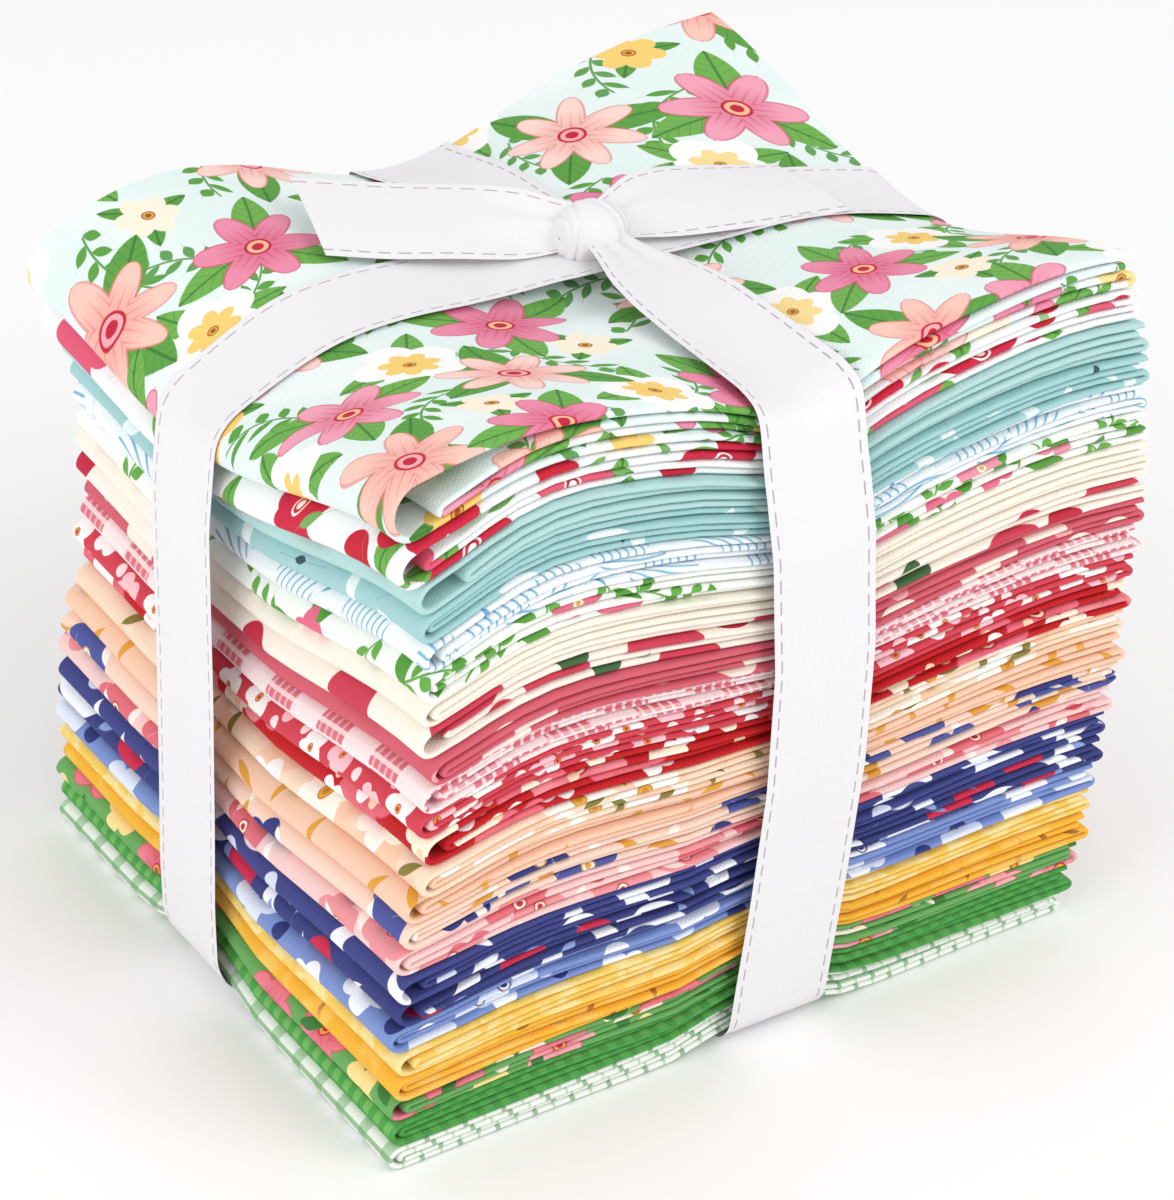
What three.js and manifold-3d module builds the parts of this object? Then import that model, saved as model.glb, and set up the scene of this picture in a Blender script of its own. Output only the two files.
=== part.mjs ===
import * as THREE from "three";
import { mergeVertices } from "three/addons/utils/BufferGeometryUtils.js";
import Module from "manifold-3d";

// A tied stack of twenty-four folded fat quarters, in millimetres, +Z up, standing on its base.
// +X runs along the longer side of the folded quarters, and -X is the side of their big round folds.

// The cloth
const CUT_LENGTH = 533; // 21 inches, folded in four along X
const CUT_WIDTH = 457; // 18 inches, folded in four along Y
const FOLDED_LENGTH = CUT_LENGTH / 4;
const FOLDED_WIDTH = CUT_WIDTH / 4;
const LEAVES = 4; // thick leaves of each quarter, each of them four plies of cloth
const LEAF = 1.0; // thickness of a leaf
const LEAF_GAP = 0.16; // between the leaves of one quarter
const LEAVES_HEIGHT = LEAVES * LEAF + (LEAVES - 1) * LEAF_GAP;
const FOLD_REACH = 2.2; // how far a plain outer fold bulges past the straight of its leaves
const SMALL_FOLD_REACH = 0.9; // the same for the tight folds inside
const NEST_GAP = 0.4; // between an outer fold and the small fold inside it
const TOP_LEAF_SHORT = 1.2; // the free ends of the first and second leaves stop short of the far edge
const SECOND_LEAF_SHORT = 2.4;
const GAPE_SPREAD = 16; // how far in from the fold edge a puffed fold fades out

// The ribbon
const RIBBON_WIDTH = 19;
const RIBBON_THICK = 1.0;
const RIBBON_CLEAR = 0.6; // daylight between the ribbon and the cloth
const UNDER = RIBBON_THICK; // height of the ribbon's inner face under the stack, which stands on it
const CROSSING = { x: 0.5, y: 5 }; // where the two runs of ribbon cross under the knot
const RIBBON_COLOUR = 0xf7f0f6;

// One row for each quarter, from the top: its place in the stack, its turn in degrees, how much longer or
// wider it was folded than the exact quarter, how much its outer fold puffs up, the slack under it, and its
// colour.
const QUARTERS = [
  { dx: -2.7, dy: 1.6, turn: 0.3, long: 1.8, wide: 0.4, gape: 0.85, gap: 1.5, colour: 0xdceee9 },
  { dx: -1.5, dy: 0.6, turn: 0.1, long: 2.6, wide: -0.2, gape: 0.35, gap: 1.1, colour: 0xeef5f2 },
  { dx: 0.6, dy: -1.0, turn: 0.3, long: 0.8, wide: -1.8, gape: 0.15, gap: 0.8, colour: 0xb5dad8 },
  { dx: 1.2, dy: -1.5, turn: 0.0, long: 0.8, wide: -2.2, gape: 0, gap: 0.6, colour: 0xc3e2e0 },
  { dx: 1.5, dy: -1.8, turn: 0.2, long: 0.8, wide: -2.2, gape: 0.05, gap: 0.5, colour: 0xe9f3f6 },
  { dx: 1.8, dy: -2.0, turn: -0.1, long: 1.8, wide: -2.2, gape: 0, gap: 0.5, colour: 0xf3f6ee },
  { dx: 2.0, dy: -2.2, turn: 0.1, long: 2.2, wide: -2.2, gape: 0, gap: 0.5, colour: 0xf7f0e4 },
  { dx: 2.0, dy: -2.1, turn: -0.2, long: 2.8, wide: -2.2, gape: 0.1, gap: 0.5, colour: 0xf6eee2 },
  { dx: 2.6, dy: -2.7, turn: 0.1, long: 1.8, wide: -2.2, gape: 0, gap: 0.5, colour: 0xd46a78 },
  { dx: 2.0, dy: -2.1, turn: -0.2, long: 2.2, wide: -1.8, gape: 0.05, gap: 0.5, colour: 0xdc8490 },
  { dx: 1.3, dy: -1.6, turn: 0.2, long: 2.2, wide: -1.6, gape: 0, gap: 0.5, colour: 0xd9828f },
  { dx: 1.8, dy: -2.0, turn: -0.2, long: 0.8, wide: -1.8, gape: 0.1, gap: 0.5, colour: 0xc4161c },
  { dx: 1.0, dy: -1.3, turn: 0.1, long: 1.8, wide: -0.2, gape: 0, gap: 0.5, colour: 0xf8e6cf },
  { dx: 0.4, dy: -0.9, turn: -0.2, long: 3.8, wide: -0.2, gape: 0.05, gap: 0.5, colour: 0xf7d3b8 },
  { dx: 0.0, dy: -0.5, turn: 0.2, long: 4.2, wide: -0.2, gape: 0, gap: 0.5, colour: 0xf8dcc8 },
  { dx: -0.5, dy: -0.1, turn: -0.2, long: 4.8, wide: -0.2, gape: 0, gap: 0.5, colour: 0xf6cfcd },
  { dx: -0.8, dy: 0.1, turn: 0.1, long: 4.8, wide: -0.2, gape: 0.1, gap: 0.5, colour: 0x3e4587 },
  { dx: -0.9, dy: 0.2, turn: 0.3, long: 3.8, wide: -0.4, gape: 0.1, gap: 0.5, colour: 0x434a8d },
  { dx: -1.6, dy: 0.8, turn: -0.1, long: 4.2, wide: -0.2, gape: 0, gap: 0.5, colour: 0x7e95cf },
  { dx: -1.3, dy: 0.6, turn: 0.2, long: 3.2, wide: -0.2, gape: 0, gap: 0.5, colour: 0xf6d57a },
  { dx: -1.3, dy: 0.6, turn: -0.2, long: 3.2, wide: -0.2, gape: 0, gap: 0.5, colour: 0xf5c043 },
  { dx: -2.3, dy: 1.4, turn: 0.1, long: 2.2, wide: -0.2, gape: 0.05, gap: 0.5, colour: 0x7fb86c },
  { dx: -2.4, dy: 1.5, turn: -0.1, long: 1.2, wide: -0.2, gape: 0, gap: 0.5, colour: 0x4fa64b },
  { dx: -3.0, dy: 2.0, turn: 0, long: 0.8, wide: -0.2, gape: 0, gap: 0.5, colour: 0xe6efe2 },
];

// The top of the stack: a mean height, and the soft humps and dips that the tie pulls into it.
const TOP_HEIGHT = 120.5;
const TOP_SHAPES = [
  { name: "basin under the knot", x: 2, y: 4, height: -5.5, reachX: 38, reachY: 36 },
  { name: "dip at the right edge", x: 78, y: -1, height: -11.5, reachX: 30, reachY: 32 },
  { name: "dip at the back edge", x: -2, y: 68, height: -12, reachX: 26, reachY: 28 },
  { name: "dip at the fold edge", x: -78, y: 10, height: -15.5, reachX: 22, reachY: 40 },
  { name: "dip at the front edge", x: 2, y: -64, height: -6, reachX: 13, reachY: 24 },
  { name: "front hump by the folds", x: -46, y: -56, height: 6, reachX: 30, reachY: 26 },
  { name: "front hump at the right", x: 54, y: -60, height: 7, reachX: 34, reachY: 30 },
  { name: "back hump at the right", x: 66, y: 64, height: 4, reachX: 30, reachY: 26 },
  { name: "drooping back corner", x: -82, y: 68, height: -9, reachX: 20, reachY: 30 },
];

// The underside: flat, but lifted a little where the ribbon crosses an edge.
const BASE_SHAPES = [
  { name: "lift at the front edge", x: 2, y: -62, height: 4.5, reachX: 12, reachY: 11 },
  { name: "lift at the back edge", x: 0, y: 64, height: 4, reachX: 12, reachY: 11 },
  { name: "lift at the fold edge", x: -74, y: 8, height: 4.5, reachX: 11, reachY: 13 },
  { name: "lift at the right edge", x: 72, y: 5, height: 4, reachX: 11, reachY: 13 },
];
const CORNER_LIFT = 0.1; // at the four corners the stack sags almost to the ground
const TRACK_LIFT = 1.6; // the underside's lift over the ribbon
const TRACK_HALF = 14; // half the width of that lift

// Grid lines of the bends: every layer bends on the same lines, so that no layer cuts its neighbour.
const TRACK_MARGIN = 0.5; // between the ribbon's edges and the nearest bends
const TRACK_SIDE = RIBBON_WIDTH / 2 + TRACK_MARGIN;
const LINES_X = [-66, -46, -24, CROSSING.x - TRACK_SIDE, CROSSING.x + TRACK_SIDE, 28, 68];
const LINES_Y = [-57, CROSSING.y - TRACK_SIDE, CROSSING.y + TRACK_SIDE, 57];

const hump = (shape, x, y) =>
  shape.height * Math.exp(-(((x - shape.x) / shape.reachX) ** 2) - ((y - shape.y) / shape.reachY) ** 2);

const smoothTop = (x, y) => TOP_SHAPES.reduce((sum, shape) => sum + hump(shape, x, y), TOP_HEIGHT);

function smoothBase(x, y) {
  const track = (offset) => TRACK_LIFT * Math.exp(-((offset / TRACK_HALF) ** 6));
  const lifts = BASE_SHAPES.reduce((sum, shape) => sum + hump(shape, x, y), 0);
  return CORNER_LIFT + Math.max(track(x - CROSSING.x), track(y - CROSSING.y)) + lifts;
}

// A smooth surface made of flat triangles between the grid lines.
function facetted(surface) {
  const nodes = LINES_X.map((x) => LINES_Y.map((y) => surface(x, y)));
  const cell = (lines, value) => {
    const last = lines.length - 2;
    const i = Math.min(Math.max(lines.filter((line) => line <= value).length - 1, 0), last);
    return [i, (value - lines[i]) / (lines[i + 1] - lines[i])];
  };
  return (x, y) => {
    const [i, u] = cell(LINES_X, x);
    const [j, v] = cell(LINES_Y, y);
    const low = nodes[i][j];
    const high = nodes[i + 1][j + 1];
    const side = u > v ? nodes[i + 1][j] : nodes[i][j + 1];
    return u > v ? low + u * (side - low) + v * (high - side) : low + v * (side - low) + u * (high - side);
  };
}

// How thick one quarter is at x: a puffed fold makes it thicker near the fold edge.
const FOLD_EDGE = -FOLDED_LENGTH / 2 - 1;
const ownHeight = (quarter) => LEAVES_HEIGHT + quarter.gap;
const thickness = (quarter, x) =>
  ownHeight(quarter) * (1 + quarter.gape * Math.exp(-(((x - FOLD_EDGE) / GAPE_SPREAD) ** 2)));

// The surfaces between the quarters: number 0 is the top of the stack and the last one its underside.
const BOUNDARIES = Array.from({ length: QUARTERS.length + 1 }, (_, number) =>
  facetted((x, y) => {
    const thick = QUARTERS.map((quarter) => thickness(quarter, x));
    const sum = (values) => values.reduce((total, value) => total + value, 0);
    const base = smoothBase(x, y);
    return base + ((smoothTop(x, y) - base) * sum(thick.slice(number))) / sum(thick);
  }),
);
const topOf = BOUNDARIES[0];

// Height of a point that lies a share of the way up through one quarter.
function heightIn(index, share, x, y) {
  const low = BOUNDARIES[index + 1](x, y);
  return low + share * (BOUNDARIES[index](x, y) - low);
}

const foldReach = (quarter) => FOLD_REACH * (1 + quarter.gape);
const halfLength = (quarter) => (FOLDED_LENGTH + quarter.long) / 2;
const halfWidth = (quarter) => (FOLDED_WIDTH + quarter.wide) / 2;
const outerFoldCentre = (quarter) => LEAF / 2 + foldReach(quarter) - halfLength(quarter);

// Points round half an ellipse, as a turn of the cloth from one height to another. Side is -1 for a fold
// towards -X and 1 for one towards +X. Each point has the normal of the cloth, on the right of its travel.
function turnPoints(centre, from, to, reach, side, steps) {
  const rise = (from - to) / 2;
  return Array.from({ length: steps - 1 }, (_, i) => {
    const angle = (Math.PI * (i + 1)) / steps;
    return {
      x: centre + side * reach * Math.sin(angle),
      h: (from + to) / 2 + rise * Math.cos(angle),
      nx: -Math.sign(rise) * Math.sin(angle),
      nh: -side * Math.cos(angle),
    };
  });
}

// The back-and-forth centre line of one quarter's section, from the free end of its top leaf, round the
// outer fold to the bottom leaf, and back and forth again to the free end of the second leaf.
function sectionLine(quarter) {
  const half = halfLength(quarter);
  const level = (leaf) => quarter.gap / 2 + LEAF / 2 + leaf * (LEAF + LEAF_GAP);
  const outer = outerFoldCentre(quarter);
  const inner = LEAF / 2 + SMALL_FOLD_REACH + LEAF + NEST_GAP - half;
  const right = half - LEAF / 2 - SMALL_FOLD_REACH;
  const bends = LINES_X.slice(1, -1).map((x) => x - quarter.dx);
  const leaf = (number, from, to) => {
    const stations = from < to ? bends : [...bends].reverse();
    const up = from < to ? -1 : 1;
    return [from, ...stations, to].map((x) => ({ x, h: level(number), nx: 0, nh: up }));
  };
  return [
    ...leaf(3, half - TOP_LEAF_SHORT, outer),
    ...turnPoints(outer, level(3), level(0), foldReach(quarter), -1, 4),
    ...leaf(0, outer, right),
    ...turnPoints(right, level(0), level(1), SMALL_FOLD_REACH, 1, 2),
    ...leaf(1, right, inner),
    ...turnPoints(inner, level(1), level(2), SMALL_FOLD_REACH, -1, 2),
    ...leaf(2, inner, half - SECOND_LEAF_SHORT),
  ];
}

function geometryOf(points, triangles) {
  const geometry = new THREE.BufferGeometry();
  geometry.setAttribute("position", new THREE.Float32BufferAttribute(points.flatMap((p) => p.toArray()), 3));
  geometry.setIndex(triangles.flat());
  return geometry;
}

// One folded quarter: the section carried from the front edge to the back edge, bent with the stack.
function quarterGeometry(quarter, index) {
  const line = sectionLine(quarter);
  const side = (sign) =>
    line.map((p) => ({ x: p.x + (sign * p.nx * LEAF) / 2, h: p.h + (sign * p.nh * LEAF) / 2 }));
  const ring = [...side(1), ...side(-1).reverse()];
  const half = halfWidth(quarter);
  const rows = [-half, ...LINES_Y.slice(1, -1).map((y) => y - quarter.dy), half];
  const angle = THREE.MathUtils.degToRad(quarter.turn);
  const points = rows.flatMap((rowY) =>
    ring.map(({ x: ringX, h }) => {
      const x = quarter.dx + ringX * Math.cos(angle) - rowY * Math.sin(angle);
      const y = quarter.dy + ringX * Math.sin(angle) + rowY * Math.cos(angle);
      return new THREE.Vector3(x, y, heightIn(index, h / ownHeight(quarter), x, y));
    }),
  );
  const size = ring.length;
  const at = (m, k) => k * size + (m % size);
  const triangles = [];
  for (let k = 0; k < rows.length - 1; k += 1) {
    for (let m = 0; m < size; m += 1) {
      const [a, b, c, d] = [at(m, k), at(m, k + 1), at(m + 1, k + 1), at(m + 1, k)];
      if (points[a].x < points[d].x) triangles.push([a, b, c], [a, c, d]);
      else triangles.push([a, b, d], [d, b, c]);
    }
  }
  for (let i = 0; i < line.length - 1; i += 1) {
    const [a, b, c, d] = [i, i + 1, size - 2 - i, size - 1 - i];
    triangles.push([a, b, c], [a, c, d]);
    const last = (rows.length - 1) * size;
    triangles.push([last + a, last + c, last + b], [last + a, last + d, last + c]);
  }
  return geometryOf(points, triangles);
}

// A strip of ribbon: stations give the two edges of its under face and the way it faces there.
function stripGeometry(stations, closed) {
  const points = stations.flatMap(({ left, right, out }) => {
    const lift = out.clone().setLength(RIBBON_THICK);
    return [left, right, right.clone().add(lift), left.clone().add(lift)];
  });
  const count = stations.length;
  const at = (station, corner) => (station % count) * 4 + (corner % 4);
  const triangles = [];
  for (let s = 0; s < (closed ? count : count - 1); s += 1) {
    for (let c = 0; c < 4; c += 1) {
      const [a, b, d, e] = [at(s, c), at(s, c + 1), at(s + 1, c + 1), at(s + 1, c)];
      triangles.push([a, d, b], [a, e, d]);
    }
  }
  if (!closed) {
    const end = (count - 1) * 4;
    triangles.push([0, 1, 2], [0, 2, 3], [end, end + 2, end + 1], [end, end + 3, end + 2]);
  }
  return geometryOf(points, triangles);
}

// A run of ribbon right round the stack. Its route is a list of places along the run (x or y) and heights,
// taken clockwise with the top first, and drift moves it sideways.
function bandStations(route, along, across) {
  const place = (station, offset) => {
    const point = new THREE.Vector3();
    point[along] = station.at;
    point[across] = CROSSING[across] + (station.drift ?? 0) + offset;
    point.z = station.z ?? topOf(point.x, point.y) + RIBBON_CLEAR + (station.lift ?? 0);
    return point;
  };
  const half = along === "x" ? RIBBON_WIDTH / 2 : -RIBBON_WIDTH / 2;
  const middle = route.map((station) => place(station, 0));
  const acrossAxis = new THREE.Vector3();
  acrossAxis[across] = 1;
  return route.map((station, i) => {
    const before = middle[(i + route.length - 1) % route.length];
    const after = middle[(i + 1) % route.length];
    const out = after.clone().sub(before).cross(acrossAxis);
    return { left: place(station, -half), right: place(station, half), out };
  });
}

// The run over the long way of the stack, from the knot to +X, down, under, up the fold side and back.
const TOP_FOLD = QUARTERS[0];
const roundTopFold = (degrees) => {
  const angle = THREE.MathUtils.degToRad(degrees);
  const reach = foldReach(TOP_FOLD) + LEAF / 2 + RIBBON_CLEAR;
  const x = TOP_FOLD.dx + outerFoldCentre(TOP_FOLD) - reach * Math.sin(angle);
  const [low, high] = [heightIn(0, 0, x, CROSSING.y), heightIn(0, 1, x, CROSSING.y)];
  return { at: x, z: (low + high) / 2 + ((high - low) / 2 + RIBBON_CLEAR) * Math.cos(angle) };
};
const LONG_RUN = [
  { at: LINES_X[3] },
  { at: LINES_X[4] },
  { at: LINES_X[5] },
  { at: 63.5 },
  { at: 65.9, z: 110.2 },
  { at: 68.2, z: 105 },
  { at: 70.2, z: 94 },
  { at: 70.9, z: 76 },
  { at: 70.2, z: 55 },
  { at: 69.6, z: 34 },
  { at: 68.4, z: 18 },
  { at: 66.6, z: 7 },
  { at: 64.0, z: 2.4 },
  { at: 58, z: UNDER },
  { at: 54, z: UNDER },
  { at: -57, z: UNDER },
  { at: -61, z: UNDER },
  { at: -69.2, z: 1.9 },
  { at: -71.8, z: 5 },
  { at: -72, z: 20 },
  { at: -71.6, z: 36 },
  { at: -71.2, z: 60 },
  { at: -71.3, z: 90 },
  roundTopFold(90),
  roundTopFold(55),
  roundTopFold(20),
  { at: LINES_X[1] },
  { at: LINES_X[2] },
];

// The run over the short way, from the knot to -Y, down the long layered side, under and up the back.
const SHORT_RUN = [
  { at: LINES_Y[1] },
  { at: -55.9, lift: 0.2 },
  { at: -57, z: 117 },
  { at: -58.2, z: 109, drift: 1 },
  { at: -60.2, z: 94, drift: 3 },
  { at: -60.8, z: 74, drift: 4 },
  { at: -60.2, z: 52, drift: 4 },
  { at: -58.8, z: 30, drift: 3 },
  { at: -57.6, z: 14, drift: 2 },
  { at: -56.9, z: 4.6, drift: 1.6 },
  { at: -54.8, z: 1.9, drift: 1.4 },
  { at: -50, z: UNDER, drift: 1 },
  { at: -46, z: UNDER, drift: 1 },
  { at: 48, z: UNDER },
  { at: 52, z: UNDER },
  { at: 59.2, z: 1.9 },
  { at: 60.8, z: 4.6 },
  { at: 60.2, z: 30 },
  { at: 58.4, z: 60 },
  { at: 59.4, z: 88 },
  { at: 60.4, z: 104 },
  { at: 60.6, z: 109.4 },
  { at: 59.4, lift: 0.3 },
  { at: LINES_Y[2] },
];

// The knot and its two free tails: centres along each tail, half widths, and the tilt of the ribbon there.
const KNOT = { x: 1.6, y: 4.5, z: 120.8, radii: [6.4, 5.6, 4.7] };
const TAILS = [
  [
    { x: 0, y: 5.5, z: 120.2, half: 3.6, tilt: 8 },
    { x: -7, y: 9.5, z: 120.9, half: 6.6, tilt: 12 },
    { x: -14, y: 14, z: 121, half: 9, tilt: 13 },
    { x: -24.5, y: 20.5, z: 121, half: 9.5, tilt: 13 },
    { x: -35.5, y: 28, z: 121.6, half: 9.5, tilt: 13 },
  ],
  [
    { x: 3, y: 5, z: 120, half: 3.6, tilt: 8 },
    { x: 10, y: 5.5, z: 121.8, half: 7, tilt: 14 },
    { x: 18, y: 6, z: 122.4, half: 9.3, tilt: 14 },
    { x: 28, y: 6, z: 121.2, half: 9.5, tilt: 10 },
    { x: 37, y: 5.6, z: 119.4, half: 9.5, tilt: 6 },
    { x: 45, y: 5.4, z: 118, half: 9.5, tilt: 3 },
  ],
];

// A tail's stations: the ribbon is level along its length and tilted across it, its far edge up.
function tailStations(tail) {
  return tail.map((station, i) => {
    const before = tail[Math.max(i - 1, 0)];
    const after = tail[Math.min(i + 1, tail.length - 1)];
    const ahead = new THREE.Vector3(after.x - before.x, after.y - before.y, after.z - before.z).normalize();
    const tilt = THREE.MathUtils.degToRad(station.tilt);
    const level = new THREE.Vector3(-ahead.y, ahead.x, 0).normalize();
    if (level.y < 0) level.negate();
    const across = level.multiplyScalar(Math.cos(tilt)).add(new THREE.Vector3(0, 0, Math.sin(tilt)));
    const centre = new THREE.Vector3(station.x, station.y, station.z);
    const out = ahead.clone().cross(across);
    if (out.z < 0) out.negate();
    return {
      left: centre.clone().addScaledVector(across, -station.half),
      right: centre.clone().addScaledVector(across, station.half),
      out,
    };
  });
}

const wasm = await Module();
wasm.setup();

// A closed mesh as a solid for joining, its faces turned outwards.
function solidOf(geometry) {
  const bare = geometry.clone();
  bare.deleteAttribute("normal");
  bare.deleteAttribute("uv");
  const merged = mergeVertices(bare, 1e-4);
  const points = merged.getAttribute("position").array;
  const index = Uint32Array.from(merged.getIndex().array);
  let volume = 0;
  const corner = (i) => new THREE.Vector3().fromArray(points, index[i] * 3);
  for (let i = 0; i < index.length; i += 3) volume += corner(i).dot(corner(i + 1).cross(corner(i + 2)));
  if (volume < 0) for (let i = 0; i < index.length; i += 3) [index[i], index[i + 1]] = [index[i + 1], index[i]];
  return new wasm.Manifold(new wasm.Mesh({ numProp: 3, vertProperties: points, triVerts: index }));
}

function ribbonGeometry() {
  const bands = [bandStations(LONG_RUN, "x", "y"), bandStations(SHORT_RUN, "y", "x")];
  const knot = new THREE.SphereGeometry(1, 14, 9);
  knot.scale(...KNOT.radii);
  knot.translate(KNOT.x, KNOT.y, KNOT.z);
  const pieces = [
    ...bands.map((stations) => stripGeometry(stations, true)),
    ...TAILS.map((tail) => stripGeometry(tailStations(tail), false)),
    knot,
  ];
  const mesh = pieces.map(solidOf).reduce((whole, piece) => whole.add(piece)).getMesh();
  const geometry = new THREE.BufferGeometry();
  geometry.setAttribute("position", new THREE.BufferAttribute(mesh.vertProperties, 3));
  geometry.setIndex(new THREE.BufferAttribute(mesh.triVerts, 1));
  return geometry;
}

const cloth = (colour) => new THREE.MeshStandardMaterial({ color: colour, roughness: 0.85, metalness: 0 });

function buildBundle() {
  const bundle = new THREE.Group();
  QUARTERS.forEach((quarter, index) => {
    const mesh = new THREE.Mesh(quarterGeometry(quarter, index), cloth(quarter.colour));
    mesh.name = `quarter_${String(index + 1).padStart(2, "0")}`;
    bundle.add(mesh);
  });
  const ribbon = new THREE.Mesh(ribbonGeometry(), cloth(RIBBON_COLOUR));
  ribbon.material.roughness = 0.45;
  ribbon.name = "ribbon_tie";
  bundle.add(ribbon);
  return bundle;
}

// The bundle's frame has its origin under the middle of its bounding box.
function centred(bundle) {
  const middle = new THREE.Box3().setFromObject(bundle).getCenter(new THREE.Vector3());
  bundle.children.forEach((mesh) => mesh.geometry.translate(-middle.x, -middle.y, 0));
  return bundle;
}

const group = centred(buildBundle());
export default group;
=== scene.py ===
"""A tied bundle of folded fat quarters.

Sizes are in millimetres until a mesh is made, and meshes are in metres.
"""

import math

import bpy
import numpy as np
from mathutils import Matrix


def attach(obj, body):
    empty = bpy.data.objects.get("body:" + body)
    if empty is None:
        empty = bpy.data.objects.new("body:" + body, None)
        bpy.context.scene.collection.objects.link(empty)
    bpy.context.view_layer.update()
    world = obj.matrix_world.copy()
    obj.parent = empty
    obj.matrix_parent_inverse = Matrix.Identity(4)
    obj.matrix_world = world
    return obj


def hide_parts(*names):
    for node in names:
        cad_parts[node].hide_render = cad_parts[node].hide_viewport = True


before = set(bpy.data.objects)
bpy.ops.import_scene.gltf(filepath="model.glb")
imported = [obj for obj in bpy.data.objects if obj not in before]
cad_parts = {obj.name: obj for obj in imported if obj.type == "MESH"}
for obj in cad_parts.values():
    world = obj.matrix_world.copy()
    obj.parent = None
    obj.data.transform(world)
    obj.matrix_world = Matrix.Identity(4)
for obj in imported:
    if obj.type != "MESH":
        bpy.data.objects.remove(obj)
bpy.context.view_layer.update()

# Camera and room

SHIFT_X = 0.55  # the stack's own frame lies this far off the object's, in millimetres
CAMERA_PLACE = (-319.0 + SHIFT_X, -479.6, 406.8)
CAMERA_TURN = dict(azimuth=-33.71, elevation=31.49, roll=1.57)
FOCAL_PIXELS = 4058
IMAGE_HEIGHT = 1200
SENSOR_WIDTH = 36

# Each lamp: its place and what it looks at, in metres, the side of its square and its watts.
KEY_LAMP = ((0.35, -0.9, 0.95), (0, 0, 0.06), 0.7, 4.7)
FILL_LAMP = ((-1.1, -0.2, 0.55), (0, 0, 0.05), 0.9, 3.9)
ROOM_STRENGTH = 0.82
FLOOR_REACH = 3.0  # metres
FLOOR_WHITE = 0.97


def camera_axes(azimuth, elevation, roll):
    """Right, up and back of a camera that looks from azimuth and elevation, in degrees, then rolls."""
    a, e, r = (math.radians(angle) for angle in (azimuth, elevation, roll))
    back = np.array([math.sin(a) * math.cos(e), -math.cos(a) * math.cos(e), math.sin(e)])
    right = np.cross([0, 0, 1], back)
    right /= np.linalg.norm(right)
    up = np.cross(back, right)
    return math.cos(r) * right + math.sin(r) * up, math.cos(r) * up - math.sin(r) * right, back


def stand(item, right, up, back, place):
    """Puts a camera or a lamp at place, in metres, looking against back."""
    matrix = np.identity(4)
    matrix[:3, :3] = np.column_stack([right, up, back])
    matrix[:3, 3] = place
    item.matrix_world = Matrix(matrix.tolist())


def place_camera():
    data = bpy.data.cameras.new("camera")
    data.sensor_width = SENSOR_WIDTH
    data.lens = data.sensor_width * FOCAL_PIXELS / IMAGE_HEIGHT
    data.clip_start = 0.01
    camera = bpy.data.objects.new("camera", data)
    bpy.context.collection.objects.link(camera)
    stand(camera, *camera_axes(**CAMERA_TURN), np.array(CAMERA_PLACE) / 1000)
    bpy.context.scene.camera = camera


def square_lamp(name, place, target, side, watts):
    data = bpy.data.lights.new(name, "AREA")
    data.size = side
    data.energy = watts
    lamp = bpy.data.objects.new(name, data)
    bpy.context.collection.objects.link(lamp)
    back = np.array(place, float) - np.array(target, float)
    back /= np.linalg.norm(back)
    right = np.cross([0, 0, 1], back)
    right /= np.linalg.norm(right)
    stand(lamp, right, np.cross(back, right), back, place)


def light_room():
    world = bpy.data.worlds.new("studio")
    world.use_nodes = True
    background = world.node_tree.nodes["Background"]
    background.inputs["Color"].default_value = (1, 1, 1, 1)
    background.inputs["Strength"].default_value = ROOM_STRENGTH
    bpy.context.scene.world = world
    square_lamp("key", *KEY_LAMP)
    square_lamp("fill", *FILL_LAMP)
    bpy.context.scene.view_settings.view_transform = "Standard"


def lay_floor():
    """A pale plain sheet far larger than the view."""
    corners = [(FLOOR_REACH * x, FLOOR_REACH * y, 0) for x, y in ((-1, -1), (1, -1), (1, 1), (-1, 1))]
    mesh = bpy.data.meshes.new("floor")
    mesh.from_pydata(corners, [], [(0, 1, 2, 3)])
    floor = bpy.data.objects.new("floor", mesh)
    bpy.context.collection.objects.link(floor)
    material, _, surface = new_surface("floor_paper", 0.9, 0.5)
    surface.inputs["Base Color"].default_value = (FLOOR_WHITE, FLOOR_WHITE, FLOOR_WHITE, 1)
    mesh.materials.append(material)


# The stack's shape

LEAF = 1.0  # four plies of one leaf, pressed
LEAVES_HEIGHT = 4.48  # a quarter's four leaves and the air between them
FLAT_QUARTER = (457, 533)
FOLDED_WIDTH, FOLDED_LENGTH = (side / 4 for side in FLAT_QUARTER)
FOLD_REACH = 2.2  # how far the middle of the outer fold bulges
SMALL_FOLD_REACH = 0.9
GAPE_SPREAD = 16  # how far in from the fold edge a puffed fold still lifts its quarter
FOLD_EDGE = -FOLDED_LENGTH / 2 - 1

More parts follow.
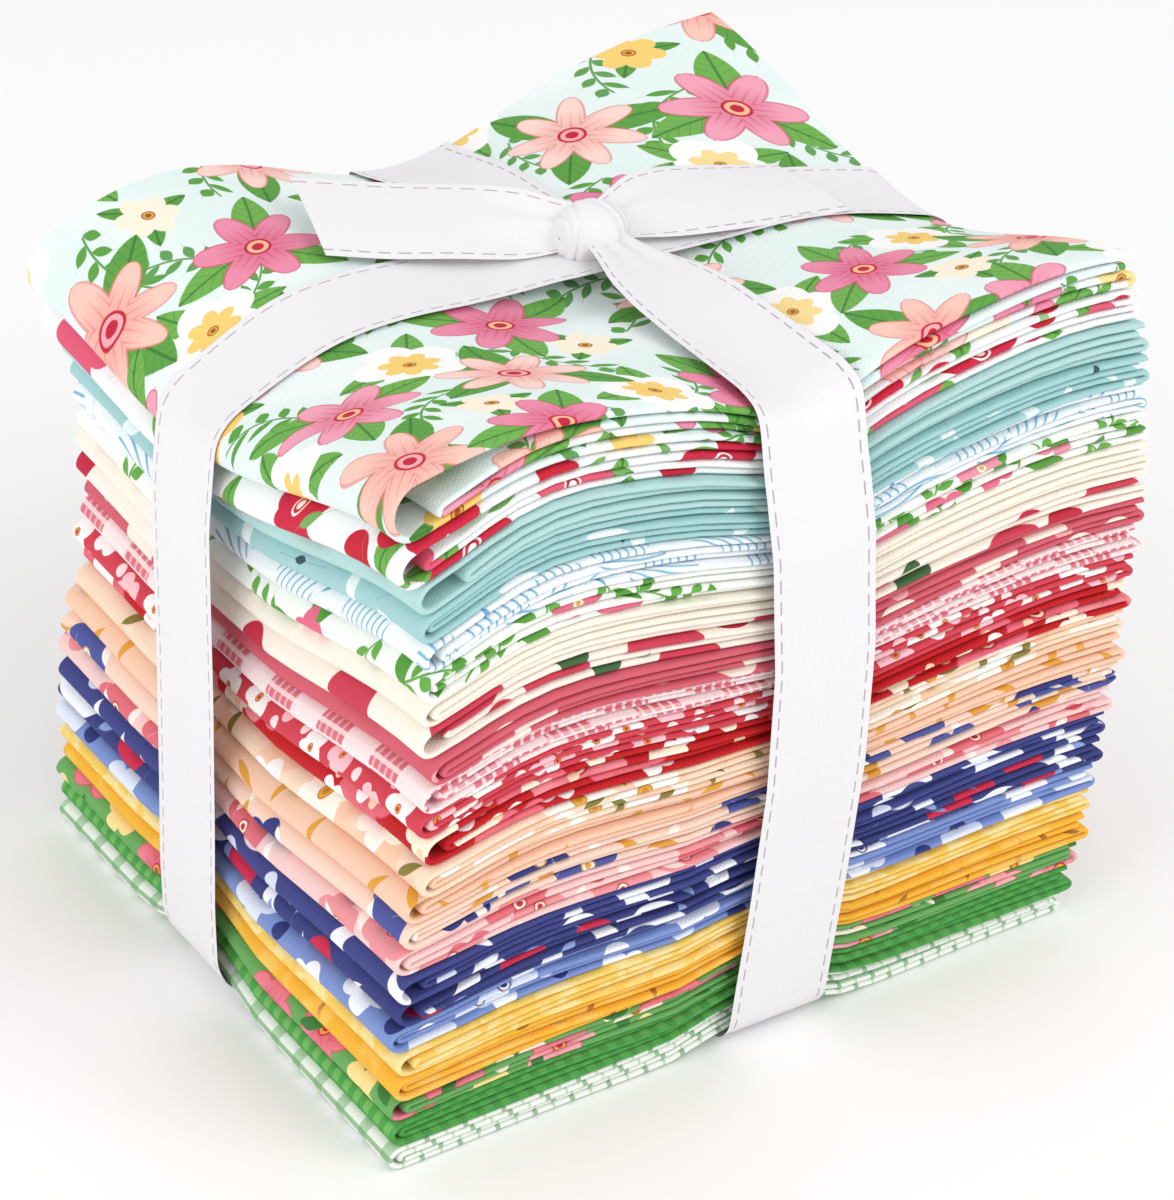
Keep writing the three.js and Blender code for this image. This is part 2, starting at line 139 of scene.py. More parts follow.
# From the top: place, turn in degrees, extra length and width of the fold, puff of the outer fold, slack
# under it, how far the inner fold lies inside the outer one, and print.
COLUMNS = ("dx", "dy", "turn", "long", "wide", "gape", "gap", "inset", "slot")
QUARTER_ROWS = [
    (-2.7, 1.6, 0.3, 1.8, 0.4, 0.85, 1.5, 9, "aqua_floral"),
    (-1.5, 0.6, 0.1, 2.6, -0.2, 0.35, 1.1, 6, "white_cherry"),
    (0.6, -1.0, 0.3, 0.8, -1.8, 0.15, 0.8, 9, "teal_plain"),
    (1.2, -1.5, 0.0, 0.8, -2.2, 0, 0.6, 3, "teal_print"),
    (1.5, -1.8, 0.2, 0.8, -2.2, 0.05, 0.5, 4, "blue_line"),
    (1.8, -2.0, -0.1, 1.8, -2.2, 0, 0.5, 3, "green_leaf"),
    (2.0, -2.2, 0.1, 2.2, -2.2, 0, 0.5, 3, "cream_plain"),
    (2.0, -2.1, -0.2, 2.8, -2.2, 0.1, 0.5, 6, "cream_rose"),
    (2.6, -2.7, 0.1, 1.8, -2.2, 0, 0.5, 3, "coral_spot"),
    (2.0, -2.1, -0.2, 2.2, -1.8, 0.05, 0.5, 4, "coral_check"),
    (1.3, -1.6, 0.2, 2.2, -1.6, 0, 0.5, 3, "coral_ditsy"),
    (1.8, -2.0, -0.2, 0.8, -1.8, 0.1, 0.5, 5, "crimson_floral"),
    (1.0, -1.3, 0.1, 1.8, -0.2, 0, 0.5, 3, "cream_daisy"),
    (0.4, -0.9, -0.2, 3.8, -0.2, 0.05, 0.5, 4, "peach_dash"),
    (0.0, -0.5, 0.2, 4.2, -0.2, 0, 0.5, 3, "peach_floral"),
    (-0.5, -0.1, -0.2, 4.8, -0.2, 0, 0.5, 3, "pink_rose"),
    (-0.8, 0.1, 0.1, 4.8, -0.2, 0.1, 0.5, 6, "navy_moon"),
    (-0.9, 0.2, 0.3, 3.8, -0.4, 0.1, 0.5, 5, "navy_crescent"),
    (-1.6, 0.8, -0.1, 4.2, -0.2, 0, 0.5, 3, "periwinkle_print"),
    (-1.3, 0.6, 0.2, 3.2, -0.2, 0, 0.5, 4, "yellow_mottled"),
    (-1.3, 0.6, -0.2, 3.2, -0.2, 0, 0.5, 3, "yellow_mark"),
    (-2.3, 1.4, 0.1, 2.2, -0.2, 0.05, 0.5, 4, "green_floral"),
    (-2.4, 1.5, -0.1, 1.2, -0.2, 0, 0.5, 3, "green_gingham"),
    (-3.0, 2.0, 0, 0.8, -0.2, 0, 0.5, 3, "white_plaid"),
]
QUARTERS = [dict(zip(COLUMNS, row)) for row in QUARTER_ROWS]

# Soft humps and dips: place, height, and reach along X and Y.
TOP_HEIGHT = 120.5
TOP_SHAPES = [
    ("basin under the knot", 2, 4, -5.5, 38, 36),
    ("dip at the right edge", 78, -1, -11.5, 30, 32),
    ("dip at the back edge", -2, 68, -12, 26, 28),
    ("dip at the fold edge", -78, 10, -15.5, 22, 40),
    ("dip at the front edge", 2, -64, -6, 13, 24),
    ("front hump by the folds", -46, -56, 6, 30, 26),
    ("front hump at the right", 54, -60, 7, 34, 30),
    ("back hump at the right", 66, 64, 4, 30, 26),
    ("drooping back corner", -82, 68, -9, 20, 30),
]
BASE_SHAPES = [
    ("lift at the front edge", 2, -62, 4.5, 12, 11),
    ("lift at the back edge", 0, 64, 4, 12, 11),
    ("lift at the fold edge", -74, 8, 4.5, 11, 13),
    ("lift at the right edge", 72, 5, 4, 11, 13),
]
# Hollows pressed into the top quarter alone.
PRESSED = [
    ("hollow before the knot", -8, -8, -2.0, 13, 6),
    ("hollow behind the knot", -10, 20, -0.8, 9, 6),
    ("hollow right of the knot", 16, -8, -0.7, 12, 5),
]
CORNER_LIFT = 0.1
TRACK_LIFT = 1.2  # how far the ribbon underneath lifts the cloth over it
TRACK_HALF = 14
CROSSING = (0.5, 5.0)  # where the two runs of ribbon cross


def humps(shapes, x, y):
    """The sum of the shapes' bell-shaped humps: height times exp(-(dx/reach)^2 - (dy/reach)^2)."""
    total = 0
    for _, centre_x, centre_y, height, reach_x, reach_y in shapes:
        total = total + height * np.exp(-(((x - centre_x) / reach_x) ** 2) - ((y - centre_y) / reach_y) ** 2)
    return total


def top_of(x, y):
    return TOP_HEIGHT + humps(TOP_SHAPES, x, y)


def base_of(x, y):
    """The underside: a low flat-topped rise over each run of ribbon, and a lift where it crosses an edge."""
    nearest = np.minimum(abs(x - CROSSING[0]), abs(y - CROSSING[1]))
    rise = TRACK_LIFT * np.exp(-((nearest / TRACK_HALF) ** 6))
    return CORNER_LIFT + rise + humps(BASE_SHAPES, x, y)


def own_height(quarter):
    return LEAVES_HEIGHT + quarter["gap"]


def fold_reach(quarter):
    return FOLD_REACH * (1 + quarter["gape"])


def thickness(quarter, x):
    """A quarter's height at x: its own height, more where its outer fold puffs up near the fold edge."""
    puff = quarter["gape"] * np.exp(-(((x - FOLD_EDGE) / GAPE_SPREAD) ** 2))
    return own_height(quarter) * (1 + puff)


def boundary(number, x, y):
    """The surface over a quarter: the stack's height, shared out by the quarters' thicknesses."""
    thick = [thickness(quarter, x) for quarter in QUARTERS]
    share = sum(thick[number:], np.zeros_like(x)) / sum(thick)
    base = base_of(x, y)
    pressed = humps(PRESSED, x, y) if number == 0 else 0
    return base + (top_of(x, y) - base) * share + pressed


# Meshes


def grid_mesh(name, points, flat):
    """Quads on a grid of points[i, j] = (x, y, z), with flat[i, j] the same place on the cloth laid flat."""
    rows, columns = points.shape[:2]
    index = np.arange(rows * columns).reshape(rows, columns)
    corners = [index[:-1, :-1], index[1:, :-1], index[1:, 1:], index[:-1, 1:]]
    faces = np.stack(corners, axis=-1).reshape(-1, 4)
    mesh = bpy.data.meshes.new(name)
    mesh.from_pydata((points.reshape(-1, 3) / 1000 + [SHIFT_X / 1000, 0, 0]).tolist(), [], faces.tolist())
    layer = mesh.uv_layers.new(name="cloth")
    owners = np.empty(len(mesh.loops), dtype=np.int64)
    mesh.loops.foreach_get("vertex_index", owners)
    layer.data.foreach_set("uv", flat.reshape(-1, 2)[owners].astype(np.float32).ravel() / 1000)
    mesh.polygons.foreach_set("use_smooth", np.ones(len(mesh.polygons), dtype=bool))
    mesh.update()
    piece = bpy.data.objects.new(name, mesh)
    bpy.context.collection.objects.link(piece)
    return piece


# One quarter as a single sheet folded in four both ways

# Where a leaf has lines of points, so that it can bend with the stack
LINES_X = np.array([-59, -54, -49, -43, -37, -31, -24, -17, -9, 0.5, 10, 17, 24, 31, 38, 45, 52, 58])
LINES_Y = np.array([-51, -44, -36, -28, -20, -12, -5, 5, 15, 22, 30, 38, 46, 52])
LINE_GAP = 0.5  # a line closer than this to a fold is left out

# How far short of the edge the first end, the far fold and the last end stop: the leaves' and the plies'
LEAF_SHORT = (1.2, 1.4, 2.4)
PLY_SHORT = (0.5, 0.6, 1.2)
PLY_FOLD_INSETS = (0.6, 1.3)
PLY_FOLD_REACHES = (0.6, 0.35)
LEAF_FOLD_STEPS = (12, 5)
PLY_FOLD_STEPS = (6, 4)

# Two waves by which a sheet wanders aside: height, millimetres to a radian, and the phase's step from quarter
# to quarter and its start
EDGE_WAVES = [(0.45, 42.0, 1.7, 0), (0.35, 17.0, 2.9, 1)]


def between_too(lines):
    """The lines, and one more in the middle of each gap."""
    return np.sort(np.concatenate([lines, (lines[:-1] + lines[1:]) / 2]))


def strip_ends(half, short, outer, inner):
    """Where a folded strip's runs end: its first end, outer fold, far fold, inner fold and last end."""
    return half - short[0], outer - half, half - short[1], inner - half, half - short[2]


def half_turn(centre, start, end, reach, side, steps):
    """Points inside half an ellipse from level start to level end.

    Returns along, level, the normal's two parts, and the share of the turn.
    """
    angle = np.pi * np.arange(1, steps) / steps
    rise = (start - end) / 2
    along = centre + side * reach * np.sin(angle)
    level = (start + end) / 2 + rise * np.cos(angle)
    outward = -np.sign(rise) * np.sin(angle)
    return along, level, outward, -side * np.cos(angle), angle / np.pi


def zigzag(lines, ends, levels, reaches, steps):
    """The nested double fold of a strip, from its first end to its last.

    It runs across level 3 to the outer fold, back on level 0, across level 1 to the inner fold and back on
    level 2. Returns along, level, the normal's two parts, and how much of the puff's lift each point has.
    """
    first_end, outer, far, inner, last_end = ends
    parts = []

    def run(level, start, end, lift):
        low, high = sorted((start, end))
        inside = lines[(lines > low + LINE_GAP) & (lines < high - LINE_GAP)]
        stops = np.concatenate([[low], inside, [high]])
        facing = np.full(len(stops), -1.0)
        if start > end:
            stops, facing = stops[::-1], -facing
        level, lift = np.full_like(stops, level), np.full_like(stops, lift)
        parts.append((stops, level, np.zeros_like(stops), facing, lift))

    def turn(centre, start, end, reach, side, count, lift):
        along, level, out, up, share = half_turn(centre, start, end, reach, side, count)
        parts.append((along, level, out, up, lift * (1 + np.cos(np.pi * share)) / 2))

    run(levels[3], first_end, outer, 1.0)
    turn(outer, levels[3], levels[0], reaches[0], -1, steps[0], 1.0)
    run(levels[0], outer, far, 0.0)
    turn(far, levels[0], levels[1], reaches[1], 1, steps[1], 0.0)
    run(levels[1], far, inner, 0.0)
    turn(inner, levels[1], levels[2], reaches[1], -1, steps[1], 0.0)
    run(levels[2], inner, last_end, 0.0)
    return [np.concatenate(column) for column in zip(*parts)]


def flat_distance(along, level):
    """Distance along the folded line, as the place on the flat cloth."""
    return np.concatenate([[0], np.cumsum(np.hypot(np.diff(along), np.diff(level)))])


def folded_quarter(number):
    """One quarter: a zigzag of leaves along it, and a zigzag of plies laid across each leaf's normal.

    The sheet is then turned, moved, and bent between the stack's surfaces above and below the quarter.
    """
    quarter = QUARTERS[number]
    half = (FOLDED_LENGTH + quarter["long"]) / 2
    high = own_height(quarter)
    pitch = high / 4
    levels = pitch * (np.arange(4) + 0.5)
    reach = fold_reach(quarter)
    lines_x, lines_y = (between_too(lines) if number == 0 else lines for lines in (LINES_X, LINES_Y))
    ends = strip_ends(half, LEAF_SHORT, LEAF / 2 + reach, quarter["inset"])
    reaches = (reach, SMALL_FOLD_REACH)
    along, level, out, up, lift = zigzag(lines_x - quarter["dx"], ends, levels, reaches, LEAF_FOLD_STEPS)
    half = (FOLDED_WIDTH + quarter["wide"]) / 2
    plies = pitch / 4 * (np.arange(4) - 1.5)
    ends = strip_ends(half, PLY_SHORT, *PLY_FOLD_INSETS)
    aside, ply, _, _, _ = zigzag(lines_y - quarter["dy"], ends, plies, PLY_FOLD_REACHES, PLY_FOLD_STEPS)

    place = flat_distance(along, level)
    waves = [rise * np.sin(place / long + step * number + start) for rise, long, step, start in EDGE_WAVES]
    wander = sum(waves)
    x = along[:, None] + out[:, None] * ply[None, :]
    h = level[:, None] + up[:, None] * ply[None, :]
    y = aside[None, :] + wander[:, None]
    turn = math.radians(quarter["turn"])
    stack_x = quarter["dx"] + x * math.cos(turn) - y * math.sin(turn)
    stack_y = quarter["dy"] + x * math.sin(turn) + y * math.cos(turn)
    thick = thickness(quarter, stack_x)
    h = h + lift[:, None] * (thick - high)
    low = boundary(number + 1, stack_x, stack_y)
    stack_z = low + h / thick * (boundary(number, stack_x, stack_y) - low)
    flat = np.stack(np.broadcast_arrays(place[:, None], flat_distance(aside, ply)[None, :]), axis=-1)
    piece = grid_mesh(f"cloth_{number + 1:02d}", np.stack([stack_x, stack_y, stack_z], axis=-1), flat)
    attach(piece, "root")
    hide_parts(f"quarter_{number + 1:02d}")
    return piece


# The ribbon: a flat band round the stack each way, a knot and two free tails

RIBBON_WIDTH = 19
OVER = 0.45  # the ribbon's height over the cloth that it lies on
STEP = 0.5  # between the points along a ribbon
BEND = 1.3  # how far along the ribbon a corner is rounded off
TAIL_BEND = 2.0
FOLD_DRIFT = 4.5  # the long run's place aside where it goes round the top fold
FOLLOW_FROM, FOLLOW_OVER = 84, 18  # the height from which, and over which, a run begins to follow the top
PLEATS, PLEAT_HEIGHT = 3, 0.9  # across the short run where it is drawn in
DRAWN_IN = 0.6  # how much of its width the short run loses there
SMOOTH_STEPS = 24  # to each side of a point that is smoothed


def round_top_fold(degrees):
    """A place on the ribbon round the top quarter's outer fold, the given angle down from the top of it."""
    quarter = QUARTERS[0]
    angle = math.radians(degrees)
    reach = fold_reach(quarter)
    centre = quarter["dx"] + LEAF / 2 + reach - (FOLDED_LENGTH + quarter["long"]) / 2
    at = centre - (reach + LEAF / 2 + OVER) * math.sin(angle)
    place = np.array([at]), np.array([CROSSING[1]])
    low, high = (float(boundary(number, *place)[0]) for number in (1, 0))
    return at, (low + high) / 2 + ((high - low) / 2 + OVER) * math.cos(angle), 0, FOLD_DRIFT


# Along the run, and the height, where None lies on the top of the stack; then a further lift, and the
# place aside.
LONG_RUN = [
    (9, None, 1.6, 5),
    (24, None, 0.3, 4.8),
    (52, None, 0, 3.6),
    (63.5, None, 0, 3.4),
    (66.6, 109.9, 0, 3.4),
    (69, 104.6, 0, 3.6),
    (70.8, 94, 0, 4.2),
    (71.4, 76, 0, 5),
    (70.8, 55, 0, 5),
    (70.2, 34, 0, 5),
    (69, 18, 0, 5),
    (67.2, 6.5, 0, 5),
    (64.4, 1.6, 0, 5),
    (58, 0.2, 0, 5),
    (0, 0.12, 0, 5),
    (-59, 0.3, 0, 5),
    (-66, 1.6, 0, 5),
    (-70.6, 4.0, 0, 5),
    (-72.4, 8.5, 0, 5),
    (-72.6, 20, 0, 5),
    (-72.2, 36, 0, 5),
    (-71.8, 60, 0, 5),
    (-71.7, 90, 0, 5),
    *(round_top_fold(degrees) for degrees in (95, 75, 55, 35, 15)),
    (-62, None, 0, 4.2),
    (-56, None, 0, 4),
    (-40, None, 0, 4),
    (-27, None, 0.2, 4.2),
    (-18, None, 0.7, 4.6),
    (-9, None, 1.4, 5),
]
SHORT_RUN = [
    (3, 119.8, 0, 3.2),
    (-2, 119.4, 0, 3.2),
    (-10, 119.7, 0, 2.8),
    (-18, 120.2, 0, 2.6),
    (-27, 120.1, 0, 2.4),
    (-38, 119.4, 0, 2.2),
    (-46, 118.7, 0, 2),
    (-52, 118.0, 0, 2),
    (-56.4, 116.6, 0, 1.8),
    (-58, 114.5, 0, 1.6),
    (-59.2, 106, 0, 2),
    (-60.8, 93, 0, 3.4),
    (-61.3, 74, 0, 4.5),
    (-60.8, 52, 0, 4.5),
    (-59.4, 30, 0, 3.5),
    (-58.2, 14, 0, 2.5),
    (-57.4, 4.6, 0, 2.1),
    (-55, 1.5, 0, 1.9),
    (-48, 0.55, 0, 1.5),
    (0, 0.5, 0, 0.8),
    (52, 0.55, 0, 0.5),
    (59.4, 1.5, 0, 0.5),
    (61.4, 4.6, 0, 0.5),
    (60.8, 30, 0, 0.5),
    (59, 60, 0, 0.5),
    (60, 88, 0, 0.5),
    (60.9, 104, 0, 0.2),
    (60.2, 109.6, 0, 0),
    (57.6, None, 0, -0.6),
    (44, None, 0, -0.7),
    (28, None, 0, -0.7),
    (14, None, 0.8, -0.5),
    (6, 118.2, 0, 0),
]


def even_line(points, step, closed=False):
    """Points every step along a line of straight stretches."""
    points = np.array(points, float)
    if closed:
        points = np.vstack([points, points[:1]])
    along = np.concatenate([[0], np.cumsum(np.linalg.norm(np.diff(points[:, :2], axis=0), axis=1))])
    even = np.linspace(0, along[-1], int(round(along[-1] / step)) + 1)
    dense = np.stack([np.interp(even, along, column) for column in points.T], axis=-1)
    return dense[:-1] if closed else dense


def smoothed(dense, step, width, closed=False):
    """Each point as the mean of the points around it, weighted by a bell as wide as width.

    Past an open end the line is carried on by turning it about the end point.
    """
    apart = np.arange(-SMOOTH_STEPS, SMOOTH_STEPS + 1)
    weight = np.exp(-0.5 * (apart * step / width) ** 2)
    weight /= weight.sum()
    place = np.arange(len(dense))[:, None] + apart[None, :]
    if closed:
        return np.einsum("k,nkc->nc", weight, dense[place % len(dense)])
    inner = np.clip(place, 0, len(dense) - 1)
    mirrored = np.clip(np.where(place < 0, -place, 2 * len(dense) - 2 - place), 0, len(dense) - 1)
    values = np.where((place == inner)[..., None], dense[inner], 2 * dense[inner] - dense[mirrored])
    return np.einsum("k,nkc->nc", weight, values)


def ribbon_piece(name, points, length_along, half):
    flat = np.stack(np.broadcast_arrays(length_along[:, None], half), axis=-1)
    piece = grid_mesh(name, points, flat)
    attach(piece, "root")
    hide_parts("ribbon_tie")
    return piece


def drawn_in(length_along):
    """How much a ribbon is drawn in at its ends, from 0 to 1: over 16 mm at the first and 9 at the last."""
    left = length_along[-1] - length_along
    return np.exp(-((length_along / 16) ** 2)) + np.exp(-((left / 9) ** 4))


def band(name, table, long_way, across):
    """A flat ribbon round the stack: the table's line, smoothed, with the ribbon's width level across it.

    Where the ribbon lies on the top, every point across it follows the cloth. The long run is closed, and the
    short run's ends are drawn in at the knot.
    """
    rows = np.array([(at, -1 if z is None else z, lift, drift) for at, z, lift, drift in table], float)
    at, height, lift, drift = rows.T
    top = top_of if long_way else (lambda along, aside: top_of(aside, along))
    lying = height < 0
    height = np.where(lying, top(at, drift) + OVER, height)
    dense = even_line(np.column_stack([at, height, lift, drift, lying]), STEP, closed=long_way)
    at, height, lift, drift, lying = dense.T
    dense[:, 1] = np.where(lying > 0.99, top(at, drift) + OVER, height) + lift
    at, z, _, drift, _ = smoothed(dense, STEP, BEND, closed=long_way).T
    if long_way:
        at, z, drift = (np.append(value, value[0]) for value in (at, z, drift))
    length_along = flat_distance(at, z)
    near = (0 * length_along if long_way else drawn_in(length_along))[:, None]
    side = np.linspace(-1, 1, across)[None, :]
    half = RIBBON_WIDTH / 2
    offset = side * half * (1 - DRAWN_IN * near)
    along, middle = at[:, None] + 0 * offset, drift[:, None] + 0 * offset
    follow = top(along, middle + offset) - top(along, middle)
    weight = np.clip((z - FOLLOW_FROM) / FOLLOW_OVER, 0, 1)[:, None]
    pleats = np.abs(np.cos(side * np.pi * PLEATS / 2)) * PLEAT_HEIGHT * near
    level = z[:, None] + follow * weight + pleats
    if long_way:
        points = np.stack([along, middle + offset, level], axis=-1)
    else:
        points = np.stack([middle + offset, along, level], axis=-1)[:, ::-1]
    return ribbon_piece(name, points, length_along, side * half)


KNOT = (2.3, 4.2, 119.9)
KNOT_HALF = (5.7, 5.4, 4.7)
KNOT_WRAP = 26  # the length of ribbon that shows round the knot
KNOT_PRINT_HALF = 6  # half of the ribbon's width that shows along the knot

# Each tail's centres from the knot out, the half width there, and the tilt in degrees, far edge up
TAILS = {
    "ribbon_left_tail": [
        (0.5, 5.0, 119.9, 3.4, 60),
        (-3.5, 7.0, 120.2, 4.6, 48),
        (-9, 10.6, 121.0, 7.6, 22),
        (-15, 14.6, 121.4, 9.3, 13),
        (-24.5, 20.5, 121.3, 9.5, 13),
        (-35.6, 28, 121.8, 9.5, 13),
    ],
    "ribbon_right_tail": [
        (4, 4.4, 119.8, 3.0, 50),
        (9, 4.8, 120.3, 4.6, 34),
        (15, 5.2, 120.6, 7.6, 20),
        (22, 5.4, 120.2, 9.4, 12),
        (30, 5.2, 119.0, 9.5, 9),
        (38, 4.8, 117.9, 9.5, 5),
        (46, 4.4, 117.0, 9.5, 2),
    ],
}
SLANTS = {"ribbon_left_tail": 3.6, "ribbon_right_tail": -1.5}  # how far the cut end leads at the far edge
TAIL_PLEAT = 1.6
TAIL_CROWN = 0.5  # how far a tail's middle stands over its edges


def free_tail(name, table):
    """A tail lies level along its centres and tilted across. Near the knot it is narrower and pleated."""
    line = smoothed(even_line(table, STEP), STEP, TAIL_BEND)
    centre, half, tilt = line[:, :3], line[:, 3], np.radians(line[:, 4])
    ahead = np.gradient(centre, axis=0)
    ahead /= np.linalg.norm(ahead, axis=1, keepdims=True)
    flat = np.stack([-ahead[:, 1], ahead[:, 0], 0 * half], axis=-1)
    flat /= np.linalg.norm(flat, axis=1, keepdims=True)
    flat *= np.where(flat[:, 1:2] < 0, -1, 1)
    across_way = flat * np.cos(tilt)[:, None] + [0, 0, 1] * np.sin(tilt)[:, None]
    side = np.linspace(-1, 1, 13)[None, :]
    gather = (1 - half / (RIBBON_WIDTH / 2))[:, None]
    points = centre[:, None, :] + across_way[:, None, :] * (half[:, None] * side)[..., None]
    points[..., 2] += TAIL_PLEAT * gather * np.cos(side * np.pi * 2) + TAIL_CROWN * (1 - side**2)
    length_along = np.concatenate([[0], np.cumsum(np.linalg.norm(np.diff(centre, axis=0), axis=1))])
    lean = SLANTS[name] * (length_along[:, None] / length_along[-1]) ** 3 * side
    points += ahead[:, None, :] * lean[..., None]
    if ahead[0, 0] < 0:
        points = points[:, ::-1]
    return ribbon_piece(name, points, length_along, side * RIBBON_WIDTH / 2)


# Grooves between the knot's pleats: place along its axis from -1 to 1, how far they lean, width and depth
GROOVES = [
    (-0.66, 0.14, 0.06, 0.15),
    (-0.36, 0.22, 0.05, 0.1),
    (0.12, -0.2, 0.05, 0.12),
    (0.36, -0.12, 0.045, 0.17),
    (0.56, -0.08, 0.04, 0.18),
    (0.76, -0.04, 0.045, 0.2),
]


def knot_lump():
    """A lump of ribbon wrapped over the crossing: an egg, its waist the root of a cosine.

    Grooves go round it and lean as they go.
    """
    around = np.linspace(0, 2 * np.pi, 72)
    a, b = np.meshgrid(around, np.linspace(-1, 1, len(around)), indexing="ij")
    waist = np.cos(b * np.pi / 2 * 0.9995) ** 0.5  # at its two ends the egg stays open by a hair
    cuts = [depth * np.exp(-(((b - at - lean * np.cos(a)) / wide) ** 2)) for at, lean, wide, depth in GROOVES]
    pleat = 1 - sum(cuts) + 0.05 * np.sin(2 * a + 3 * b)
    x = KNOT[0] + KNOT_HALF[0] * np.sin(b * np.pi / 2) + 0.6 * np.sin(a) * waist
    y = KNOT[1] + KNOT_HALF[1] * waist * pleat * np.cos(a)
    z = KNOT[2] + KNOT_HALF[2] * waist * pleat * np.sin(a)
    length_along = around / around[-1] * KNOT_WRAP
    points, half = np.stack([x, y, z], axis=-1), KNOT_PRINT_HALF * b
    return ribbon_piece("ribbon_knot", points, length_along, half)


def make_ribbon():
    long_run = band("ribbon_long_run", LONG_RUN, True, 11)
    short_run = band("ribbon_short_run", SHORT_RUN, False, 13)
    tails = [free_tail(name, table) for name, table in TAILS.items()]
    return [long_run, short_run, knot_lump(), *tails]


# Shader arithmetic


class Field:
    """A number that a material works out at every place. Arithmetic on it adds Math nodes to its tree."""

    def __init__(self, tree, socket):
        self.tree = tree
        self.socket = socket

    def math(self, operation, *others, clamp=False):
        node = self.tree.nodes.new("ShaderNodeMath")
        node.operation = operation
        node.use_clamp = clamp
        for entry, value in zip(node.inputs, (self, *others)):
            feed(entry, value)
        return Field(self.tree, node.outputs[0])

    def __add__(self, other):
        return self.math("ADD", other)

    def __sub__(self, other):
        return self.math("SUBTRACT", other)

    def __rsub__(self, other):
        return self.math("MULTIPLY_ADD", -1, other)

    def __mul__(self, other):
        return self.math("MULTIPLY", other)

    def __truediv__(self, other):
        return self.math("DIVIDE", other)

    def size(self):
        return self.math("ABSOLUTE")

    def least(self, other):
        return self.math("MINIMUM", other)

    def most(self, other):
        return self.math("MAXIMUM", other)

    def wrapped(self, pitch):
        """The distance from the nearest whole number of pitches, from -pitch/2 to pitch/2."""
        return self.math("WRAP", pitch / 2, -pitch / 2)

    def below(self, edge, soft=0.16):
        """1 where the field is below edge and 0 above it, over a soft step."""
        return self.math("MULTIPLY_ADD", -1 / soft, 0.5 + edge / soft, clamp=True)


def feed(entry, value):
    """Links a field to a socket, or sets a plain value on it."""
    if isinstance(value, Field):
        value.tree.links.new(value.socket, entry)
    else:
        entry.default_value = value


def vector(x, y):
    """The way (x, y, 0) as a socket."""
    node = x.tree.nodes.new("ShaderNodeCombineXYZ")
    for field, entry in zip((x, y), node.inputs):
        x.tree.links.new(field.socket, entry)
    return node.outputs[0]


def vector_math(tree, operation, *values):
    """A Vector Math node on sockets or triples of numbers. A field among them is the node's scale."""
    node = tree.nodes.new("ShaderNodeVectorMath")
    node.operation = operation
    for place, value in enumerate(values):
        if isinstance(value, Field):
            tree.links.new(value.socket, node.inputs["Scale"])
        elif isinstance(value, tuple):
            node.inputs[place].default_value = value
        else:
            tree.links.new(value, node.inputs[place])
    return node.outputs["Value" if operation == "LENGTH" else "Vector"]


def hypotenuse(a, b):
    return Field(a.tree, vector_math(a.tree, "LENGTH", vector(a, b)))


def lens(along, aside, long, wide):
    """How far outside a leaf shape a place is: its half width is wide times 1 - (along / long)^2."""
    taper = (1 - (along / long) * (along / long)).most(0.0)
    return aside.size() - taper * wide


def node_group(name, build, inputs, outputs, ways=()):
    """A group of shader nodes. build gets the inputs as fields, and those that ways names are vectors."""
    tree = bpy.data.node_groups.new(name, "ShaderNodeTree")
    for label in inputs:
        kind = "NodeSocketVector" if label in ways else "NodeSocketFloat"
        tree.interface.new_socket(name=label, in_out="INPUT", socket_type=kind)
    for label in outputs:
        tree.interface.new_socket(name=label, in_out="OUTPUT", socket_type="NodeSocketFloat")
    entry = tree.nodes.new("NodeGroupInput")
    out = tree.nodes.new("NodeGroupOutput")
    results = build(*[Field(tree, entry.outputs[label]) for label in inputs])
    for label, result in zip(outputs, results):
        tree.links.new(result.socket, out.inputs[label])
    return tree


def use_group(group, tree, *values):
    node = tree.nodes.new("ShaderNodeGroup")
    node.node_tree = group
    for entry, value in zip(node.inputs, values):
        feed(entry, value)
    return [Field(tree, out) for out in node.outputs]


def build_lattice(place, shift, cell, jitter, turn):
    """Each square cell has one place in it, moved at random.

    Gives the way from there, turned at random, and two random numbers of the cell. The shift's third number
    is the seed.
    """
    tree = place.tree
    scaled = vector_math(tree, "SCALE", place.socket, cell.math("POWER", -1.0))
    moved = vector_math(tree, "ADD", scaled, shift.socket)
    corner = vector_math(tree, "FLOOR", moved)
    noise = tree.nodes.new("ShaderNodeTexWhiteNoise")
    noise.noise_dimensions = "3D"
    tree.links.new(corner, noise.inputs["Vector"])
    parts = tree.nodes.new("ShaderNodeSeparateColor")
    tree.links.new(noise.outputs["Color"], parts.inputs[0])
    first, _, third = (Field(tree, socket) for socket in parts.outputs)
    middle = (0.5, 0.5, 0.5)
    spread = vector_math(tree, "SCALE", vector_math(tree, "SUBTRACT", noise.outputs["Color"], middle), jitter)
    within = vector_math(tree, "SUBTRACT", vector_math(tree, "FRACTION", moved), middle)
    way = vector_math(tree, "SCALE", vector_math(tree, "SUBTRACT", within, spread), cell)
    turned = tree.nodes.new("ShaderNodeVectorRotate")
    turned.rotation_type = "Z_AXIS"
    turned.invert = True
    tree.links.new(way, turned.inputs["Vector"])
    tree.links.new((third * turn).socket, turned.inputs["Angle"])
    axes = tree.nodes.new("ShaderNodeSeparateXYZ")
    tree.links.new(turned.outputs[0], axes.inputs[0])
    x, y, _ = (Field(tree, socket) for socket in axes.outputs)
    return x, y, Field(tree, noise.outputs["Value"]), (first * 3.1 + third * 7.3).math("FRACT")


